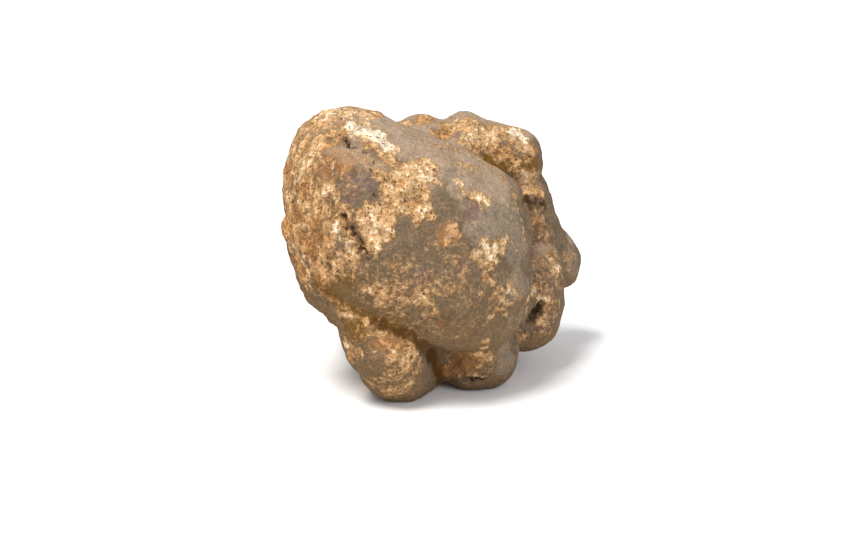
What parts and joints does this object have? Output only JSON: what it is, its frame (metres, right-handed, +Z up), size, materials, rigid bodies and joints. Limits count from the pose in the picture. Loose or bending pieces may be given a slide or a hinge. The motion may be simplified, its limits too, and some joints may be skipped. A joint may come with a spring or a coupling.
{
  "type": "white truffle",
  "caption": "Large knobbly white truffle with a big round main lobe, smaller lobes behind and below, and pale ochre skin under dried earth.",
  "frame": {"origin": "middle of the footprint box, on the plane that the three low lobes stand on", "axes": "+X to the right across the main lobe, +Y to the back away from the main lobe, +Z up"},
  "size_m": [0.0814, 0.072, 0.0769],
  "materials": {
    "skin": "matt, pale ochre skin with dried earth on it"
  },
  "bodies": {
    "root": {"white_truffle": "skin"}
  },
  "joints": []
}
